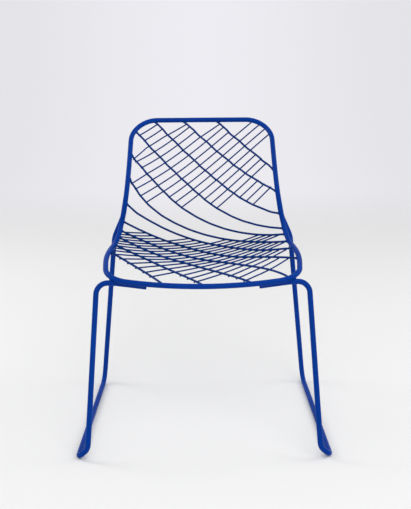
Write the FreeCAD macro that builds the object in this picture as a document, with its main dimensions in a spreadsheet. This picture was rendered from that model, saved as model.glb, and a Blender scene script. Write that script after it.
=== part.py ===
import FreeCAD, Part
import math
import os

from FreeCAD import Vector

# Wire mesh chair: a dished shell of welded wires inside one closed rod rim, carried by two bent rod
# leg frames. All of it is steel, welded and powder coated as one fixed piece.
#
# The frame of the model: millimetres, the chair faces -Y, +X is to the right of someone who looks at
# its front, +Z is up, and the origin lies on the floor under the middle of the overall box.
#
# The shell is described on a flat panel that is bent and dished. A place on the panel is (across, along):
# across is the distance from the middle plane, and along runs from the front rail over the seat, round
# the waist and up the back to the top rail.

doc = FreeCAD.newDocument("WireMeshChair")

# Driving dimensions
SIZES = [
    ("rod_diameter", 13.0, "round rod of the rim and the leg frames, coating included"),
    ("long_wire_diameter", 5.0, "wires that run from the upper left to the lower right"),
    ("cross_wire_diameter", 3.2, "thinner wires behind and under the long ones"),
    ("weld_clearance", 0.15, "room left for the weld between two wires or rods that touch"),
    ("front_overhang", 1.0, "cut end of a cross wire past its first long wire"),
    ("rear_overhang", 3.5, "cut end of a cross wire past its last long wire"),
    ("landing_inset", 12.0, "nearest that a cross wire lands on a long wire beside the rim"),
    ("cope_length", 40.0, "length of rod that shapes the end of a wire welded to the rim"),
    ("seat_height", 414.3, "centre of the front rail at its middle"),
    ("seat_slope_angle", 0.0, "degrees that the middle of the seat falls towards the back"),
    ("seat_run", 230.0, "straight part of the seat along the middle"),
    ("waist_radius", 168.0, "bend between seat and back along the middle"),
    ("back_recline_angle", 28.6, "degrees that the middle of the back leans from upright"),
    ("back_run", 296.5, "straight part of the back along the middle"),
    ("front_half_width", 248.0, "half width of the panel at the front rail"),
    ("seat_half_width", 257.0, "half width of the panel in the seat"),
    ("waist_half_width", 234.2, "half width of the panel at the waist"),
    ("lumbar_half_width", 212.4, "half width of the panel low in the back"),
    ("top_half_width", 205.0, "half width of the panel at the top rail"),
    ("front_dish", 19.8, "rise of the sides over the middle at the front rail"),
    ("seat_dish", 42.0, "rise of the sides over the middle in the seat"),
    ("waist_dish", 50.2, "reach of the sides past the middle at the waist"),
    ("lumbar_dish", 91.9, "reach of the sides past the middle low in the back"),
    ("top_dish", 23.5, "reach of the sides past the middle at the top rail"),
    ("front_bow", 7.6, "bow of the front rail ahead of its corners"),
    ("top_bow", 8.8, "bow of the top rail above its corners"),
    ("front_corner_radius", 51.5, "bend of the rim at a front corner"),
    ("top_corner_radius", 73.0, "bend of the rim at a top corner"),
    ("first_long_wire", 48.9, "where the first long wire leaves the top rail's line"),
    ("long_wire_end_reach", 110.0, "length over which the end of a long wire strays from its row"),
    ("back_cross_offset", 125.9, "first back cross wire at the top rail's line, left of the middle"),
    ("back_cross_pitch", 34.68, "sideways step between cross wires of the back"),
    ("back_cross_lean_ratio", 1.18, "sideways travel of a back cross wire for each step up the back"),
    ("back_cross_bow", 4.6, "how far a back cross wire has bowed sideways by the foot of the back"),
    ("seat_cross_offset", 849.0, "first seat cross wire at the front rail's line, left of the middle"),
    ("seat_cross_pitch", 45.92, "sideways step between cross wires of the seat"),
    ("toe_half_spread", 318.4, "centre of the floor runner at the front"),
    ("heel_half_spread", 300.4, "centre of the floor runner at the back"),
    ("runner_length", 481.0, "floor runner from the front bend to the back bend"),
    ("shin_half_spread", 293.4, "front leg where it turns out towards the floor"),
    ("shin_height", 35.7, "height of that turn"),
    ("shin_reach", 6.0, "how far that turn stands ahead of the toe"),
    ("knee_half_spread", 273.0, "front leg where it turns in under the front rail"),
    ("knee_rise", 7.0, "that turn above the front rail's middle"),
    ("knee_setback", 10.0, "that turn behind the front rail's middle"),
    ("grip_outer", 222.0, "where the rod comes to lie along the front rail"),
    ("grip_inner", 145.0, "cut end of the rod under the front rail"),
    ("hip_half_spread", 252.4, "rear leg where it turns to follow the rim"),
    ("hip_rise", 48.7, "that turn above the front rail's middle"),
    ("hip_setback", 316.0, "that turn behind the front rail's middle"),
    ("brace_low", 384.0, "where the rear leg comes to lie along the rim, along the panel"),
    ("brace_high", 452.0, "cut end of the rear leg beside the rim, along the panel"),
    ("toe_setback", 127.0, "front rail's middle behind the toe of the floor runner"),
    ("grip_radius", 40.0, "bend of the rod beside the front rail"),
    ("toe_radius", 16.0, "bend of the rod from the slanted toe into the floor runner"),
    ("shin_radius", 24.0, "bend of the rod above the toe"),
    ("knee_radius", 30.0, "bend of the rod at the top of the front leg"),
    ("heel_radius", 34.0, "bend of the rod at the back of the floor runner"),
    ("hip_radius", 60.0, "bend of the rod where the rear leg meets the rim"),
]

sheet = doc.addObject("Spreadsheet::Sheet", "Dimensions")
for row, (alias, value, note) in enumerate(SIZES, start=1):
    sheet.set("A%d" % row, alias)
    sheet.set("B%d" % row, str(value))
    sheet.set("C%d" % row, note)
    sheet.setAlias("B%d" % row, alias)
doc.recompute()


def size(alias):
    """Value of a driving dimension."""
    return float(sheet.get(alias))


ROD = size("rod_diameter")
LONG = size("long_wire_diameter")
CROSS = size("cross_wire_diameter")
CLEAR = size("weld_clearance")

# Shape of the panel along its middle: a straight seat, a bend at the waist and a straight back
SLOPE = math.radians(size("seat_slope_angle"))
LEAN = math.radians(90.0 - size("back_recline_angle"))
SEAT = size("seat_run")
WAIST = size("waist_radius")
BEND = WAIST * (LEAN + SLOPE)
BACK = size("back_run")
LENGTH = SEAT + BEND + BACK

# Places along the panel where its width and dish are given
STATIONS = [0.0, 0.6 * SEAT, SEAT + 0.6 * BEND, SEAT + BEND + 0.25 * BACK, LENGTH]
PARTS_OF_PANEL = ("front", "seat", "waist", "lumbar", "top")
HALF_WIDTHS = [size(name + "_half_width") for name in PARTS_OF_PANEL]
DISHES = [size(name + "_dish") for name in PARTS_OF_PANEL]

# How far a long wire drifts sideways for each step up the panel, at places along the panel
DRIFT_PLACES = [-0.26 * SEAT, 0.25 * SEAT, 0.8 * SEAT, SEAT + 0.5 * BEND, SEAT + BEND + 0.2 * BACK,
                LENGTH + 0.2 * BACK]
DRIFTS = [0.314, 0.708, 1.074, 2.859, 1.099, 0.929]

# Sideways steps from each long wire to the next, as shares of the panel's width at the top, and how far
# the upper end, the lower end and the waist of each wire stray from its row, as shares of the end reach
WIRE_STEPS = [0.227, 0.235, 0.24, 0.245, 0.257, 0.196, 0.246, 0.24, 0.265, 0.291, 0.25]
UPPER_STRAYS = [0.02, -0.05, 0.02, 0.08, 0.1, 0.2, 0.14, -0.07, -0.03, 0.03, -0.01, -0.12]
LOWER_STRAYS = [-0.14, 0.05, 0.13, -0.08, 0.03, 0.06, -0.13, 0.05, -0.04, 0.06, -0.01, -0.02]
WAIST_STRAYS = [0.0, 0.0, 0.0, -0.05, 0.1, 0.24, 0.16, 0.08, 0.0, 0.05, 0.0, 0.0]

# The same for a cross wire of the seat
SWEEP_PLACES = [share * SEAT for share in (0.0, 0.26, 0.52, 0.83, 1.09, 1.35, 1.74)]
SWEEPS = [1.12, 1.04, 1.03, 1.36, 2.18, 4.46, 3.9]

# In the front of the seat it turns out more, once it is this far to the right and not yet this far back
SIDE_SWEEP = 0.34
SIDE_START = 0.53 * HALF_WIDTHS[1]
SIDE_END = 0.93 * SEAT

LONG_WIRES = 12
BACK_CROSSES = 18
SEAT_CROSSES = 21
ROD_SIDES = 12
LONG_SIDES = 8
CROSS_SIDES = 6

# A long wire is cut into runs: each is at most this share of the panel when straight, or turns by the
# first of these angles that lets all its corners close
RUN_SHARE = 0.106
TURN_ANGLES = (12.0, 11.0, 13.0, 10.0, 14.0, 9.0)

# First and last long wire that each cross wire is welded to; 0 stands for the rim
BACK_SPANS = [(4, 3)] * 2 + [(5, 2)] * 3 + [(6, 1)] * 3 + [(6, 0)] + [(5, 0)] * 3 + [(4, 1)] * 3 + [(3, 2)] * 3
SEAT_FRONTS = [0] * 10 + [12] * 5 + [11] * 3 + [10] * 3
SEAT_REARS = [8] * 3 + [7] * 3 + [6] * 2 + [5] * 4 + [6] * 4 + [7] * 3 + [8] * 2


def blend(places, values, at):
    """Smooth curve through values given at places."""
    last = len(places) - 1
    step = 0
    while step < last - 1 and at > places[step + 1]:
        step += 1

    def trend(index):
        low = max(index - 1, 0)
        high = min(index + 1, last)
        return (values[high] - values[low]) / (places[high] - places[low])

    run = places[step + 1] - places[step]
    part = (at - places[step]) / run
    if part < 0.0:
        return values[step] + trend(step) * run * part
    if part > 1.0:
        return values[step + 1] + trend(step + 1) * run * (part - 1.0)
    square = part * part
    cube = square * part
    first = (2.0 * cube - 3.0 * square + 1.0) * values[step]
    second = (3.0 * square - 2.0 * cube) * values[step + 1]
    rise = (cube - 2.0 * square + part) * trend(step) + (cube - square) * trend(step + 1)
    return first + second + rise * run


def half_width(along):
    """Half width of the panel."""
    return blend(STATIONS, HALF_WIDTHS, along)


def travel(places, slopes, along):
    """Sideways travel from the front rail's line, for slopes given at places."""
    total = 0.0
    steps = 24
    start = 0.0
    for index in range(steps):
        mid = start + along * (index + 0.5) / steps
        low = 0
        while low < len(places) - 2 and mid > places[low + 1]:
            low += 1
        share = (mid - places[low]) / (places[low + 1] - places[low])
        share = min(max(share, 0.0), 1.0)
        total += (slopes[low] + (slopes[low + 1] - slopes[low]) * share) * along / steps
    return total


def profile(along):
    """Point and upward normal of the panel's middle line."""
    flat = min(along, SEAT)
    bend = min(max(along - SEAT, 0.0), BEND)
    rise = max(along - SEAT - BEND, 0.0)
    angle = -SLOPE + bend / WAIST
    y = size("toe_setback") + flat * math.cos(SLOPE) + WAIST * (math.sin(angle) + math.sin(SLOPE))
    z = size("seat_height") - flat * math.sin(SLOPE) - WAIST * (math.cos(angle) - math.cos(SLOPE))
    point = Vector(0.0, y + rise * math.cos(angle), z + rise * math.sin(angle))
    return point, Vector(0.0, -math.sin(angle), math.cos(angle))


def raw_place(across, along):
    """Point of the panel, measured from the toe."""
    point, normal = profile(along)
    share = across / half_width(along)
    lift = normal * (blend(STATIONS, DISHES, along) * share * share)
    return Vector(across, 0.0, 0.0) + point + lift


def front_line(across):
    """The front rail's place along the panel."""
    share = across / HALF_WIDTHS[0]
    return -size("front_bow") * (1.0 - share * share)


def top_line(across):
    """The top rail's place along the panel."""
    share = across / HALF_WIDTHS[-1]
    return LENGTH + size("top_bow") * (1.0 - share * share)


def place(across, along):
    """Point of the panel in the frame of the model."""
    return raw_place(across, along) + ORIGIN_SHIFT


def upward(across, along):
    """Normal of the panel on the side that is sat on."""
    step = 0.5
    sideways = place(across + step, along) - place(across - step, along)
    onward = place(across, along + step) - place(across, along - step)
    return sideways.cross(onward).normalize()


def corner_inset(first, second, radius):
    """Distance inside a rounded corner, from the distances inside its two lines."""
    if first < radius and second < radius:
        return radius - math.hypot(radius - first, radius - second)
    return min(first, second)


def inset(across, along):
    """Distance inside the rim's centre line, on the flat panel."""
    side = half_width(along) - abs(across)
    top = corner_inset(side, top_line(across) - along, size("top_corner_radius"))
    front = corner_inset(side, along - front_line(across), size("front_corner_radius"))
    return min(top, front)


def corner_place(turn, radius, line, sign):
    """Place on a rounded corner: turn 0 is on the side, turn 90 degrees is on the rail."""
    from_side = radius * (1.0 - math.cos(turn))
    from_rail = radius * (1.0 - math.sin(turn))
    across = HALF_WIDTHS[0] - from_side
    along = 0.0
    for _ in range(8):
        along = line(across) + sign * from_rail
        across = half_width(along) - from_side
    return across, along


def row_across(number, along):
    """Where a long wire would be across the panel if it kept to its row."""
    start = size("first_long_wire") - 2.0 * HALF_WIDTHS[-1] * sum(WIRE_STEPS[:number - 1])
    return start + DRIFT_WHOLE - travel(DRIFT_PLACES, DRIFTS, along)


def long_across(number, along):
    """Where a long wire is across the panel."""
    low, high = ROW_ENDS[number]
    reach = size("long_wire_end_reach")
    upper = max(along - high + reach, 0.0) / reach
    lower = max(low + reach - along, 0.0) / reach
    stray = UPPER_STRAYS[number - 1] * upper * upper + LOWER_STRAYS[number - 1] * lower * lower
    from_waist = (along - SEAT - 0.45 * BEND) / (0.3 * WAIST)
    stray += WAIST_STRAYS[number - 1] * math.exp(-from_waist * from_waist)
    return row_across(number, along) + stray * reach


def back_cross_across(number, along):
    """Where a cross wire of the back is across the panel."""
    start = size("back_cross_pitch") * (number - 1) - size("back_cross_offset")
    below = along - LENGTH
    bow = size("back_cross_bow") * (below / BACK) * (below / BACK)
    return start + size("back_cross_lean_ratio") * below - bow


def seat_cross_across(number, along):
    """Where a cross wire of the seat is across the panel."""
    start = size("seat_cross_pitch") * (number - 1) - size("seat_cross_offset")
    across = start + travel(SWEEP_PLACES, SWEEPS, along)
    aside = max(across - SIDE_START, 0.0) * max(1.0 - along / SIDE_END, 0.0)
    return across + SIDE_SWEEP * aside


def root(function, low, high):
    """Place between low and high where a function changes sign."""
    sign = function(low) > 0.0
    for _ in range(40):
        mid = (low + high) / 2.0
        if (function(mid) > 0.0) == sign:
            low = mid
        else:
            high = mid
    return (low + high) / 2.0


def rim_ends(across_at, low, high):
    """First and last place of a wire inside the rim, going out both ways from where it is deepest inside."""
    count = 200
    step = (high - low) / count

    def depth(along):
        return inset(across_at(along), along)

    depths = [depth(low + step * index) for index in range(count + 1)]
    first = last = depths.index(max(depths))
    while first > 0 and depths[first - 1] > 0.0:
        first -= 1
    while last < count and depths[last + 1] > 0.0:
        last += 1
    start = root(depth, low + step * (first - 1), low + step * first)
    end = root(depth, low + step * last, low + step * (last + 1))
    return start, end


# Where each long wire's row meets the rim
MARGIN = 0.03 * LENGTH
DRIFT_WHOLE = travel(DRIFT_PLACES, DRIFTS, LENGTH)
ROW_ENDS = {}
for number in range(1, LONG_WIRES + 1):
    ROW_ENDS[number] = rim_ends(lambda along: row_across(number, along), -MARGIN, LENGTH + MARGIN)


def headings(points, closed):
    """Unit tangents at points of a smooth path."""
    count = len(points)
    result = []
    for index in range(count):
        if closed or 0 < index < count - 1:
            before = points[index] - points[index - 1]
            after = points[(index + 1) % count] - points[index]
            heading = before * (1.0 / before.dot(before)) + after * (1.0 / after.dot(after))
            result.append(heading.normalize())
        else:
            result.append(None)
    if not closed:
        for end, other in ((0, 1), (count - 1, count - 2)):
            chord = (points[other] - points[end]).normalize()
            result[end] = (chord * (2.0 * chord.dot(result[other])) - result[other]).normalize()
    return result


def arc_or_line(start, end, heading):
    """Edge from start to end that leaves start in a given heading."""
    chord = end - start
    axis = heading.cross(chord)
    if axis.Length < 1e-6 * chord.Length:
        return Part.LineSegment(start, end).toShape()
    axis.normalize()
    inward = axis.cross(heading)
    radius = chord.dot(chord) / (2.0 * chord.dot(inward))
    centre = start + inward * radius
    bulge = ((start + end) * 0.5 - centre).normalize()
    return Part.Arc(start, centre + bulge * abs(radius), end).toShape()


def smooth_path(points, closed=False):
    """Wire of tangent arcs through points."""
    tangents = headings(points, closed)
    count = len(points)
    edges = []
    for index in range(count if closed else count - 1):
        start = points[index]
        end = points[(index + 1) % count]
        first = tangents[index]
        last = tangents[(index + 1) % count]
        chord = end - start
        both = first + last
        square = both.dot(both) - 4.0
        linear = -2.0 * chord.dot(both)
        constant = chord.dot(chord)
        if abs(square) < 1e-9:
            reach = -constant / linear
        else:
            reach = (-linear - math.sqrt(linear * linear - 4.0 * square * constant)) / (2.0 * square)
        if reach < 0.0:
            reach = (-linear + math.sqrt(linear * linear - 4.0 * square * constant)) / (2.0 * square)
        leave = start + first * reach
        arrive = end - last * reach
        joint = (leave + arrive) * 0.5
        edges.append(arc_or_line(start, joint, first))
        edges.append(arc_or_line(joint, end, (arrive - leave).normalize()))
    return Part.Wire(edges)


def bent_path(points, radii):
    """Wire of straight runs joined by bends of given radii."""
    edges = []
    at = points[0]
    for index in range(1, len(points) - 1):
        corner = points[index]
        back = (points[index - 1] - corner).normalize()
        ahead = (points[index + 1] - corner).normalize()
        turn = math.pi - math.acos(max(-1.0, min(1.0, back.dot(ahead))))
        if turn < 1e-3:
            continue
        tangent = radii[index - 1] * math.tan(turn / 2.0)
        start = corner + back * tangent
        end = corner + ahead * tangent
        centre = corner + (back + ahead).normalize() * (radii[index - 1] / math.cos(turn / 2.0))
        middle = centre + (corner - centre).normalize() * radii[index - 1]
        edges.append(Part.LineSegment(at, start).toShape())
        edges.append(Part.Arc(start, middle, end).toShape())
        at = end
    edges.append(Part.LineSegment(at, points[-1]).toShape())
    return Part.Wire(edges)


def front_corners(sign):
    """Corners of a front leg, measured from the toe: at the top, above the toe and on the floor."""
    front = size("toe_setback") + size("knee_setback")
    return [
        Vector(sign * size("knee_half_spread"), front, size("seat_height") + size("knee_rise")),
        Vector(sign * size("shin_half_spread"), -size("shin_reach"), size("shin_height")),
        Vector(sign * size("toe_half_spread"), 0.0, ROD / 2.0),
    ]


# The origin: floor level under the middle of the box, between the front legs and the top rail
FRONT_MOST = bent_path(front_corners(1.0), [size("shin_radius")]).BoundBox.YMin - ROD / 2.0
REAR_MOST = raw_place(0.0, top_line(0.0)).y + ROD / 2.0
ORIGIN_SHIFT = Vector(0.0, -(FRONT_MOST + REAR_MOST) / 2.0, 0.0)


def even_run(point_at, low, high, turn_angle):
    """Corners of a many-sided run along a curve, closer together where it bends more."""
    count = 240
    samples = [point_at(low + (high - low) * k / count) for k in range(count + 1)]
    effort = [0.0]
    for index in range(1, count + 1):
        step = samples[index] - samples[index - 1]
        bend = 0.0
        if index < count:
            bend = step.getAngle(samples[index + 1] - samples[index])
        effort.append(effort[-1] + step.Length / (RUN_SHARE * LENGTH) + math.degrees(bend) / turn_angle)
    runs = int(math.ceil(effort[-1]))
    corners = [samples[0]]
    for run in range(1, runs):
        target = effort[-1] * run / runs
        index = next(k for k in range(count + 1) if effort[k] >= target)
        share = (target - effort[index - 1]) / (effort[index] - effort[index - 1])
        corners.append(samples[index - 1] + (samples[index] - samples[index - 1]) * share)
    corners.append(samples[-1])
    return corners


def turned_to(heading, at):
    """Placement at a point with its Z axis along a heading."""
    return FreeCAD.Placement(at, FreeCAD.Rotation(Vector(0.0, 0.0, 1.0), heading))


def swept(name, path, diameter_alias, sides):
    """Rod or wire along a path, with a flat-sided round section bound to its diameter."""
    spine = doc.addObject("Part::Feature", name + "_path")
    spine.Shape = path
    section = doc.addObject("Part::RegularPolygon", name + "_section")
    section.Polygon = sides
    section.setExpression("Circumradius", "Dimensions.%s / 2" % diameter_alias)
    first = path.OrderedEdges[0]
    start = path.OrderedVertexes[0].Point
    heading = first.tangentAt(first.FirstParameter)
    if (first.valueAt(first.FirstParameter) - start).Length > 1e-4:
        heading = first.tangentAt(first.LastParameter) * -1.0
    section.Placement = turned_to(heading, start)
    sweep = doc.addObject("Part::Sweep", name)
    sweep.Sections = [section]
    sweep.Spine = (spine, ["Edge%d" % (index + 1) for index in range(len(path.Edges))])
    sweep.Solid = True
    sweep.Frenet = False
    sweep.Transition = "Right corner"
    return sweep


def long_run(name, point_at, low, high):
    """Long wire in straight runs, cut at the first turn that lets its corners close."""
    for turn_angle in TURN_ANGLES:
        corners = even_run(point_at, low, high, turn_angle)
        wire = swept(name, Part.makePolygon(corners), "long_wire_diameter", LONG_SIDES)
        doc.recompute()
        if not wire.Shape.isNull() and wire.Shape.isValid():
            return wire
        for part_name in (name, name + "_section", name + "_path"):
            doc.removeObject(part_name)
    raise RuntimeError("%s doesn't close at any turn" % name)


def coped(name, wire, cuts):
    """A wire with its ends shaped to the round of the rim."""
    result = wire
    half = size("cope_length") / 2.0
    for index, (at, heading) in enumerate(cuts):
        last = index == len(cuts) - 1
        tool = doc.addObject("Part::Prism", "%s_cope_%d" % (name, index + 1))
        tool.Polygon = ROD_SIDES
        tool.setExpression("Circumradius", "Dimensions.rod_diameter / 2 + Dimensions.weld_clearance")
        tool.setExpression("Height", "Dimensions.cope_length")
        tool.Placement = turned_to(heading, at - heading * half)
        cut = doc.addObject("Part::Cut", name if last else "%s_cut_%d" % (name, index + 1))
        cut.Base = result
        cut.Tool = tool
        result = cut
    return result


def rim_heading(across, along):
    """Direction of the rim where a wire meets it."""
    step = 0.5
    slope_across = inset(across + step, along) - inset(across - step, along)
    slope_along = inset(across, along + step) - inset(across, along - step)
    length = math.hypot(slope_across, slope_along)
    turn_across = -slope_along / length
    turn_along = slope_across / length
    ahead = place(across + turn_across * step, along + turn_along * step)
    behind = place(across - turn_across * step, along - turn_along * step)
    return (ahead - behind).normalize()


NODES = []


def keep(label, item):
    """Give a finished piece its label and note it for the export."""
    item.Label = label
    NODES.append((label, item))


# Shell rim: one closed loop of rod
side_stations = [0.17, 0.25, 0.34, 0.4, 0.46, 0.51, 0.56, 0.62, 0.74]
front_corner = size("front_corner_radius")
top_corner = size("top_corner_radius")
right_half = [(0.5 * HALF_WIDTHS[0], front_line(0.5 * HALF_WIDTHS[0]))]
for turn in (90.0, 45.0, 0.0):
    right_half.append(corner_place(math.radians(turn), front_corner, front_line, 1.0))
for share in side_stations:
    right_half.append((half_width(share * LENGTH), share * LENGTH))
for turn in (0.0, 45.0, 90.0):
    right_half.append(corner_place(math.radians(turn), top_corner, top_line, -1.0))
left_half = [(-across, along) for across, along in reversed(right_half)]
outline = [(0.0, front_line(0.0))] + right_half + [(0.0, top_line(0.0))] + left_half
rim_points = [place(across, along) for across, along in outline]
rim_path = smooth_path(rim_points, closed=True)
keep("shell_rim", swept("ShellRim", rim_path, "rod_diameter", ROD_SIDES))
rim_samples = rim_path.discretize(Number=900)


def nearest_rim(point):
    """Distance from a point to the rim's centre line."""
    return min((point - sample).Length for sample in rim_samples)


def push_clear(points, direction):
    """Move a straight run away from the rim until it just touches."""
    need = ROD + CLEAR
    for _ in range(6):
        closest = min(nearest_rim(points[0] + (points[1] - points[0]) * (k / 12.0)) for k in range(13))
        points = [point + direction * (need - closest) for point in points]
    return points


# Leg frames: each one bent rod from under the front rail, down, along the floor and up beside the rim
def leg_points(sign):
    """Corners of a leg frame, from the cut end under the front rail to the cut end beside the rim."""
    inner = sign * size("grip_inner")
    outer = sign * size("grip_outer")
    under = Vector(0.0, 1.0, -1.0).normalize()
    grip = [place(across, front_line(across)) + under * (ROD + CLEAR) for across in (inner, outer)]
    grip = push_clear(grip, under)
    low = size("brace_low")
    high = size("brace_high")
    aside = Vector(sign * 0.05, 1.0, 0.0).normalize()
    brace = [place(sign * half_width(along), along) + aside * (ROD + CLEAR) for along in (low, high)]
    brace = push_clear(brace, aside)
    shift = ORIGIN_SHIFT
    return [
        grip[0],
        grip[1],
        *[corner + shift for corner in front_corners(sign)],
        Vector(sign * size("heel_half_spread"), size("runner_length"), ROD / 2.0) + shift,
        Vector(sign * size("hip_half_spread"), size("toe_setback") + size("hip_setback"),
               size("seat_height") + size("hip_rise")) + shift,
        brace[0],
        brace[1],
    ]


LEG_BENDS = [size("grip_radius"), size("knee_radius"), size("shin_radius"), size("toe_radius"),
             size("heel_radius"), size("hip_radius"), size("hip_radius")]
for label, name, sign in (("left_leg_frame", "LeftLegFrame", -1.0), ("right_leg_frame", "RightLegFrame", 1.0)):
    keep(label, swept(name, bent_path(leg_points(sign), LEG_BENDS), "rod_diameter", ROD_SIDES))

# Long wires: each follows the panel from the top or left side of the rim to its right or front side
long_spans = {}
for number in range(1, LONG_WIRES + 1):
    first, last = rim_ends(lambda along: long_across(number, along), -MARGIN, LENGTH + MARGIN)
    long_spans[number] = (first, last)
    name = "LongWire%02d" % number
    wire = long_run(name + "_run", lambda along: place(long_across(number, along), along), first, last)
    cuts = []
    for along in (first, last):
        across = long_across(number, along)
        cuts.append((place(across, along), rim_heading(across, along)))
    keep("long_wire_%02d" % number, coped(name, wire, cuts))


def crossing(cross_at, number, low, high):
    """Place along a long wire where a cross wire lands on it, kept a little inside the rim."""
    along = root(lambda place_along: cross_at(place_along) - long_across(number, place_along), low, high)

    def room(place_along):
        return inset(long_across(number, place_along), place_along) - size("landing_inset")

    if room(along) > 0.0:
        return along
    return root(room, sum(long_spans[number]) / 2.0, along)


def cross_wire(label, name, cross_at, first, last, low, high):
    """Thin wire under the long wires, welded to each of them from the first to the last."""
    drop = (LONG + CROSS) / 2.0 + CLEAR
    spare = size("landing_inset")
    rim_low, rim_high = rim_ends(cross_at, low, high)
    crossings = {}
    for number in range(1, LONG_WIRES + 1):
        low_side = cross_at(rim_low - spare) - long_across(number, rim_low - spare)
        high_side = cross_at(rim_high + spare) - long_across(number, rim_high + spare)
        if low_side < 0.0 < high_side:
            crossings[number] = crossing(cross_at, number, rim_low - spare, rim_high + spare)
    landings = {along: long_across(number, along) for number, along in crossings.items()}
    cuts = []
    if first and crossings:
        start = crossings[min(crossings, key=lambda number: abs(number - first))]
    else:
        first = 0
        start = rim_low
        landings[rim_low] = cross_at(rim_low)
    if last and crossings:
        end = crossings[min(crossings, key=lambda number: abs(number - last))]
    else:
        last = 0
        end = rim_high
        landings[rim_high] = cross_at(rim_high)
    if end - start < spare:
        last = 0
        end = rim_high
        landings[rim_high] = cross_at(rim_high)
    points = []
    for along in sorted(landings):
        if start - 0.01 < along < end + 0.01:
            across = landings[along]
            points.append(place(across, along) - upward(across, along) * drop)
    if first == 0:
        cuts.append((place(cross_at(rim_low), rim_low), rim_heading(cross_at(rim_low), rim_low)))
    else:
        points[0] += (points[0] - points[1]).normalize() * size("front_overhang")
    if last == 0:
        cuts.append((place(cross_at(rim_high), rim_high), rim_heading(cross_at(rim_high), rim_high)))
    else:
        points[-1] += (points[-1] - points[-2]).normalize() * size("rear_overhang")
    path = Part.makePolygon(points)
    if cuts:
        run = swept(name + "_run", path, "cross_wire_diameter", CROSS_SIDES)
        keep(label, coped(name, run, cuts))
    else:
        keep(label, swept(name, path, "cross_wire_diameter", CROSS_SIDES))


# Cross wires of the back: straight on the flat panel, from the lower left to the upper right
BACK_LOW = SEAT + BEND * 0.5
for number in range(1, BACK_CROSSES + 1):
    first, last = BACK_SPANS[number - 1]
    cross_wire("back_cross_wire_%02d" % number, "BackCross%02d" % number,
               lambda along: back_cross_across(number, along), first, last, BACK_LOW, LENGTH + MARGIN)

# Cross wires of the seat: they fan out as they run back and to the right
SEAT_HIGH = SEAT + BEND * 0.9
for number in range(1, SEAT_CROSSES + 1):
    cross_wire("seat_cross_wire_%02d" % number, "SeatCross%02d" % number,
               lambda along: seat_cross_across(number, along),
               SEAT_FRONTS[number - 1], SEAT_REARS[number - 1], -MARGIN, SEAT_HIGH)

doc.recompute()

# Checks on every object, then one file for each piece
for item in doc.Objects:
    if "Invalid" in item.State or "Error" in item.State:
        raise RuntimeError("%s is in state %s" % (item.Name, item.State))
    if hasattr(item, "Shape"):
        if item.Shape.isNull() or not item.Shape.isValid():
            raise RuntimeError("%s has no valid shape" % item.Name)

os.makedirs("parts", exist_ok=True)
for label, item in NODES:
    if len(item.Shape.Solids) != 1:
        raise RuntimeError("%s has %d solids" % (label, len(item.Shape.Solids)))
    item.Shape.exportStep("parts/%s.step" % label)
print("%d pieces written" % len(NODES))
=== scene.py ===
import logging
import math
from dataclasses import dataclass, field
from enum import Enum
from functools import partial
from typing import Callable

import bpy
from mathutils import Matrix, Vector


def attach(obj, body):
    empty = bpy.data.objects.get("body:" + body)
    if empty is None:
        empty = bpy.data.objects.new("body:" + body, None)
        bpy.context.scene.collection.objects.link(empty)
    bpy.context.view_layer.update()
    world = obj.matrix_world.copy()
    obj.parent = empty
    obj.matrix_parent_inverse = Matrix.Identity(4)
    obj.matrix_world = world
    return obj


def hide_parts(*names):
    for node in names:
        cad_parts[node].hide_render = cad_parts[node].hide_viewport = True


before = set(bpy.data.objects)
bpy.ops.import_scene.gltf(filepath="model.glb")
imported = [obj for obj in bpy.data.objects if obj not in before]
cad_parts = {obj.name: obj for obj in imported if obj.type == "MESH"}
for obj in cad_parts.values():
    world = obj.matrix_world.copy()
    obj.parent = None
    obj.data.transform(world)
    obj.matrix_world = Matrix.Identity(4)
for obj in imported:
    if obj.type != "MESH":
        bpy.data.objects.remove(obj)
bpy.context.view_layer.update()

# Wire mesh chair: blue powder coated rod rim and leg frames, with a shell of slanting welded wires.
# The scene is in metres. The panel of the shell is worked out in millimetres, as its drawing is.

LOG = logging.getLogger("wire_mesh_chair")
MM = 0.001
BODY = "root"

# How finely meeting places, sideways travel and ends on the rim are worked out.
HALVINGS = 40
TRAVEL_STEPS = 24
RIM_SEARCH_STEPS = 200
STRAIGHT_TURN = 0.001


class Side(Enum):
    """Which side of the chair, for someone who looks at its front."""

    LEFT = -1.0
    RIGHT = 1.0


class Slot(Enum):
    """The record's material slots."""

    ROD = "rod_coat"
    WIRE = "wire_coat"


def blend(places: list[float], values: tuple[float, ...], at: float) -> float:
    """Smooth curve through values given at places.

    Args:
        places: Rising places along the panel.
        values: The value at each place.
        at: Where to read the curve.

    Returns:
        The value of the curve there.
    """
    last = len(places) - 1
    step = 0
    while step < last - 1 and at > places[step + 1]:
        step += 1

    def trend(index: int) -> float:
        """Slope of the curve at a place.

        Args:
            index: Number of the place.

        Returns:
            The change of value for each step along.
        """
        low = max(index - 1, 0)
        high = min(index + 1, last)
        return (values[high] - values[low]) / (places[high] - places[low])

    run = places[step + 1] - places[step]
    part = (at - places[step]) / run
    if part < 0.0:
        return values[step] + trend(step) * run * part
    if part > 1.0:
        return values[step + 1] + trend(step + 1) * run * (part - 1.0)
    square = part * part
    cube = square * part
    first = (2.0 * cube - 3.0 * square + 1.0) * values[step]
    second = (3.0 * square - 2.0 * cube) * values[step + 1]
    rise = (cube - 2.0 * square + part) * trend(step) + (cube - square) * trend(step + 1)
    return first + second + rise * run


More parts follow.
